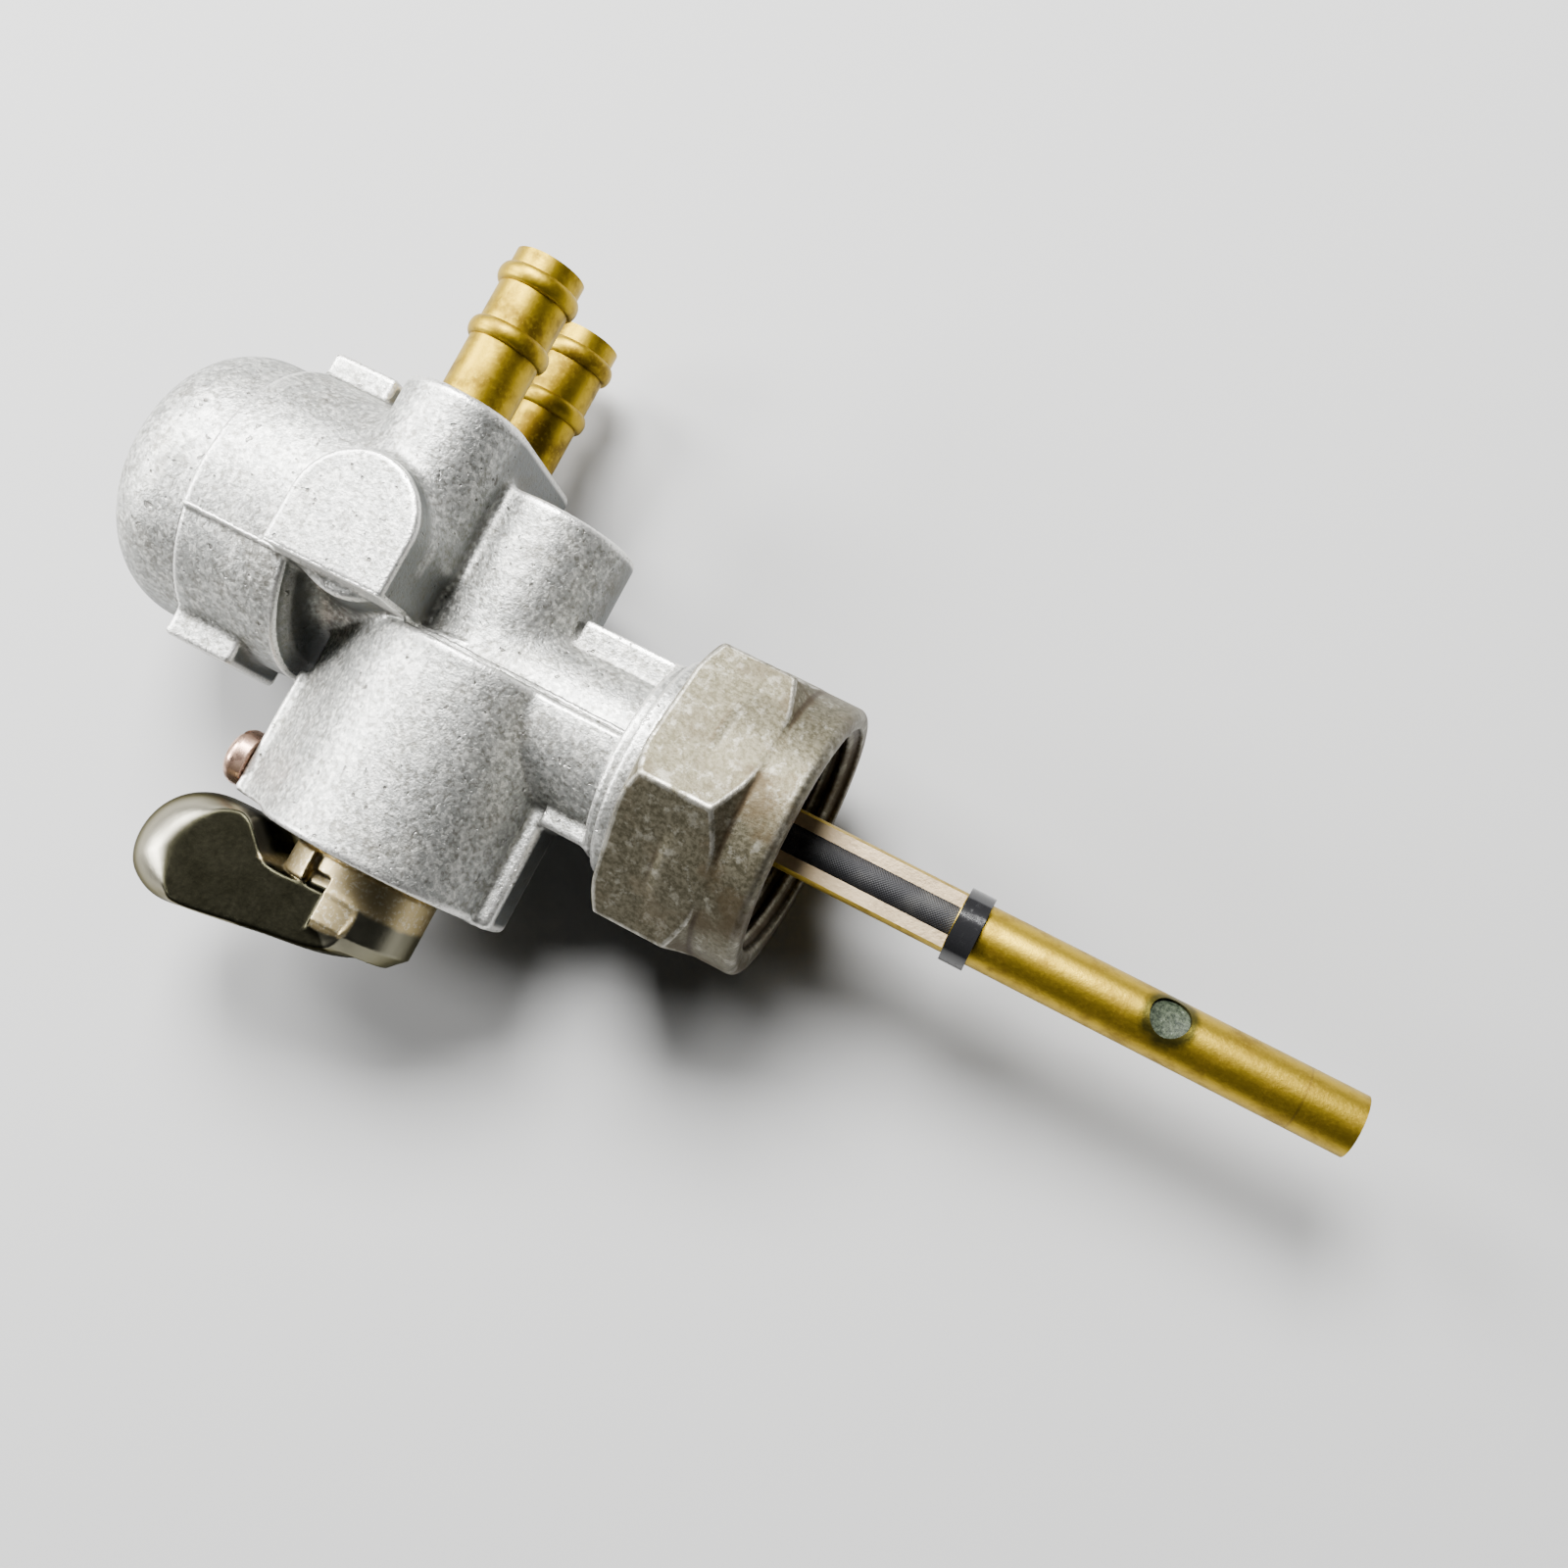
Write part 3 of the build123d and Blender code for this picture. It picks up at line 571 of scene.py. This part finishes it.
def smooth_outline(*corners):
    """Closed curve through the corners: a cubic in each gap, whose slope at a corner is that of the line
    from the corner before it to the corner after it, in eight steps."""
    corners = np.array(corners)
    share = np.linspace(0, 1, 9)[:-1, None, None]
    before, ahead, beyond = [np.roll(corners, by, axis=0) for by in (1, -1, -2)]
    curve = (2 * corners + (ahead - before) * share
             + (2 * before - 5 * corners + 4 * ahead - beyond) * share**2
             + (3 * corners - before - 3 * ahead + beyond) * share**3) / 2
    return curve.transpose(1, 0, 2).reshape(-1, 2)


blade_outline = smooth_outline(
    (-25.0, -29.35), (-32.0, -30.7), (-38.9, -31.9), (-43.6, -32.7), (-46.7, -31.7), (-48.2, -29.8),
    (-48.6, -27.2), (-47.9, -24.6), (-46.2, -22.5), (-43.6, -21.2), (-40.4, -20.95), (-37.6, -21.15),
    (-35.9, -22.3), (-34.6, -23.5), (-32.4, -24.2), (-24.0, -24.0), (-23.6, -26.8),
)
flat_outline = smooth_outline(
    (-25.3, -28.9), (-32.0, -30.2), (-39.2, -31.5), (-41.0, -30.8), (-41.8, -28.8), (-41.9, -26.4),
    (-41.4, -24.2), (-40.2, -22.4), (-38.5, -21.5), (-37.1, -21.8), (-35.8, -22.9), (-34.4, -24.1),
    (-32.6, -24.7), (-24.4, -24.5), (-24.0, -26.8),
)


def within(x, y, outline):
    """Signed distance to a closed outline of straight runs, negative inside it."""
    nearest = np.full(np.broadcast(x, y).shape, 1e9)
    crossings = np.zeros(nearest.shape, bool)
    for (ax, ay), (bx, by) in zip(outline, np.roll(outline, -1, axis=0)):
        along = ((x - ax) * (bx - ax) + (y - ay) * (by - ay)) / ((bx - ax) ** 2 + (by - ay) ** 2)
        along = np.clip(along, 0, 1)
        nearest = np.minimum(nearest, np.hypot(x - ax - along * (bx - ax), y - ay - along * (by - ay)))
        if ay != by:
            crossings = crossings ^ (((ay > y) != (by > y)) & (x < (bx - ax) * (y - ay) / (by - ay) + ax))
    return np.where(crossings, -nearest, nearest)


def lever_shape(x, y, z):
    """Signed distance to the lever: a blade that is flat within one outline and falls away from it like
    an ellipse to the outer outline, joined to a chamfered hub that is cut back beside the flat, with the
    grooved shaft behind it."""
    inside = -within(x, y, blade_outline)
    beyond = np.maximum(within(x, y, flat_outline), 0)
    width = np.maximum(beyond + inside, 0.3)
    share = beyond / width
    slope = 2 * np.sqrt((share / width) ** 2 + (z / blade_half**2) ** 2)
    blade = np.maximum((share**2 + (z / blade_half) ** 2 - 1) / np.maximum(slope, 0.02), -4)
    hub = disc(x, z, (barrel_x, 0), 6.8, y, (hub_front, hub_back), 0.4)
    radius = np.hypot(x - barrel_x, z)
    cone = (radius - 5.3 - (y - hub_front)) * np.sqrt(0.5)
    recess = np.minimum(np.minimum(np.abs(z) - 5.4, recess_end - x), -22.8 - y)
    flange = np.maximum(disc(x, z, (barrel_x, 0), 7.7, y, (-24.1, -21.2), 0.3), x + 29.5)
    shaft = disc(x, z, (barrel_x, 0), 7.15, y, (hub_back, -7.6), 0)
    seal_groove = np.maximum(np.abs(y + 17) - 1.7, 6.05 - radius)
    ring_groove = np.maximum(np.abs(y + 13.2) - 0.7, 5.76 - radius)
    grooves = np.minimum(seal_groove, ring_groove)
    hub = join(np.maximum(np.maximum(hub, cone), recess), flange, 0.4)
    return np.minimum(join(blade, hub, 0.6), np.maximum(shaft, -grooves))


def lever_plate(place):
    """Dark olive satin plating, painted nearly black on the flat as a painted dark reflection, with a
    painted highlight band and painted shade along the edge of its rounded tip, and brass showing round the
    hub.
    """
    fine = place.noise(0.45, 4.0, 0.7)
    cloud = place.noise(3.0, 4.0, 0.65)
    x = place.part(0) * 1000
    y = place.part(1) * 1000
    z = place.part(2) * 1000
    proud = (z * z).ramp(38.0, 40.0) * x.ramp(-33.0, -32.0)
    behind = (y + (cloud - 0.5) * 0.8).ramp(-24.6, -24.0) * x.ramp(-35.0, -34.0)
    recess = x.ramp(-29.8, -29.3) * (1 - x.ramp(-27.2, -26.8)) * (1 - y.ramp(-23.2, -22.7))
    recess = recess * (z * z > 30)
    near_hub = (1 - (1 - proud) * (1 - behind)) * (1 - recess)
    outer = x.ramp(-27.4, -26.8) * (x + y * 1.09).ramp(-56.3, -55.7)
    # On the rounded tip, painted shade along its edge and a painted highlight band where it turns up.
    tip_light_mask = (1 - (z * z).ramp(32.5, 35.6)) * (1 - x.ramp(-34.5, -33.0))
    # The flat is painted nearly black: a painted dark reflection over the olive plating.
    colour = cloud.ramp(0.35, 0.65).mix((0.024, 0.023, 0.014, 1), (0.033, 0.0315, 0.020, 1))
    tip_highlight_and_shade = (z * z).ramp(5.0, 22.0).mix((0.045, 0.042, 0.030, 1), (0.36, 0.34, 0.27, 1))
    colour = tip_light_mask.mix(colour, tip_highlight_and_shade)
    colour = outer.mix(colour, (0.20, 0.19, 0.14, 1))
    colour = near_hub.mix(colour, (0.50, 0.40, 0.21, 1))
    colour = (near_hub * fine.ramp(0.52, 0.62) * 0.6).mix(colour, (0.75, 0.70, 0.54, 1))
    rough = 0.24 + fine * 0.16 + near_hub * 0.10
    return {"Base Color": colour, "Metallic": 1.0, "Roughness": rough,
            "Specular Tint": (0.30, 0.29, 0.24, 1), "Normal": fine.bump(0.016)}


lever = cast_mesh("lever_casting", lever_shape, (-49.6, -33.8, -7.6), (-18.2, -6.9, 7.6), 0.22)
lever.data.materials.append(material("lever_plate", lever_plate))
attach(lever, "lever")
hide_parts("lever")


# Seals and screw: black rubber rings and a rubber disc inside the body, a spring washer behind the disc
# and a coppery screw that enters the casting from the side and holds the lever in its groove.
def rubber(place):
    """Plain black rubber."""
    return {"Base Color": (0.02, 0.02, 0.02, 1), "Roughness": 0.55 + place.noise(1.0) * 0.1}


def copper_screw(place):
    """Coppery plated screw, tarnished brown."""
    age = place.noise(1.4, 4.0).ramp(0.4, 0.65)
    colour = age.mix((0.62, 0.40, 0.30, 1), (0.26, 0.17, 0.12, 1))
    return {"Base Color": colour, "Metallic": 1.0, "Roughness": 0.25 + age * 0.2}


rubber_look = material("rubber", rubber)
for name in ("lever_o_ring", "valve_seal", "cup_o_ring"):
    dress(name, rubber_look)
dress("spring_washer", spring_look)
dress("lever_screw", material("copper_screw", copper_screw))


# Cup: a cast zinc bowl that catches water and dirt, screwed into the collar over a gauze disc.
# It has the casting's own grey, and both keep the solids of the frame.
dress("cup", zinc_look)
dress("cup_screen", gauze_look)


# Studio: a plain pale floor under the tap, a large soft key light beyond it, a window light and a low light
# from the left, and the camera where the photograph was taken. The far floor glows and the backdrop is pale
# only where the camera sees it, so that low views keep a pale horizon.
floor_height = cad_box[0][2]
floor_half = 3.0
corners = [(x * floor_half, y * floor_half, floor_height) for x, y in ((-1, -1), (1, -1), (1, 1), (-1, 1))]
floor_mesh = bpy.data.meshes.new("floor")
floor_mesh.from_pydata(corners, [], [(0, 1, 2, 3)])
floor = add_object("floor", floor_mesh)


def floor_paint(place):
    """Matt pale grey, lit from within far away from the tap so that the horizon stays pale."""
    far = place.node("VectorMath", {"operation": "LENGTH"}, {0: place}, "Value").ramp(0.25, 1.0)
    glow = far.mix((0, 0, 0, 1), (0.8, 0.8, 0.8, 1))
    return {"Base Color": (0.45, 0.45, 0.446, 1), "Roughness": 0.8,
            "Emission Color": glow, "Emission Strength": 1.0}


floor_mesh.materials.append(material("floor", floor_paint))

right = np.array((0.88130, 0.46172, -0.10061))
up = np.array((-0.44323, 0.88150, 0.16283))
back = np.array((0.16387, -0.09891, 0.98151))
middle = np.array((-0.005, 0.003, 0.0))


def softbox(name, side, rise, near, width, power):
    """A square soft light, placed by the picture's own right, up and towards the viewer, facing the tap."""
    place = middle + side * right + rise * up + near * back
    facing = (place - middle) / np.linalg.norm(place - middle)
    across = np.cross(up, facing)
    across = across / np.linalg.norm(across)
    turn = np.stack([across, np.cross(facing, across), facing], axis=1)
    lamp = bpy.data.lights.new(name, "AREA")
    lamp.shape = "SQUARE"
    lamp.size = width
    lamp.energy = power
    stand = add_object(name, lamp)
    stand.matrix_world = Matrix.LocRotScale(place, Matrix(turn).to_quaternion(), None)


softbox("key", -0.04, 0.43, 0.40, 0.26, 13.0)
softbox("window", -0.38, 0.37, 0.25, 0.20, 5.0)
softbox("left", -0.50, 0.12, 0.17, 0.16, 3.4)

world = bpy.data.worlds.new("studio")
world.use_nodes = True
sky = Wire(world.node_tree)
seen = sky.node("LightPath", None, None, "Is Camera Ray")
backdrop = seen.mix((0.030, 0.031, 0.0315, 1), (0.8, 0.8, 0.8, 1))
world.node_tree.links.new(backdrop.socket, world.node_tree.nodes["Background"].inputs["Color"])
bpy.context.scene.world = world

lens = bpy.data.cameras.new("camera")
lens.sensor_width = 36
lens.lens = 36.703
lens.clip_start = 0.01
camera = add_object("camera", lens)
viewpoint = (0.029578, -0.010501, 0.147487)
turned = Matrix(np.stack([right, up, back], axis=1)).to_quaternion()
camera.matrix_world = Matrix.LocRotScale(viewpoint, turned, None)
bpy.context.scene.camera = camera

bpy.context.view_layer.update()
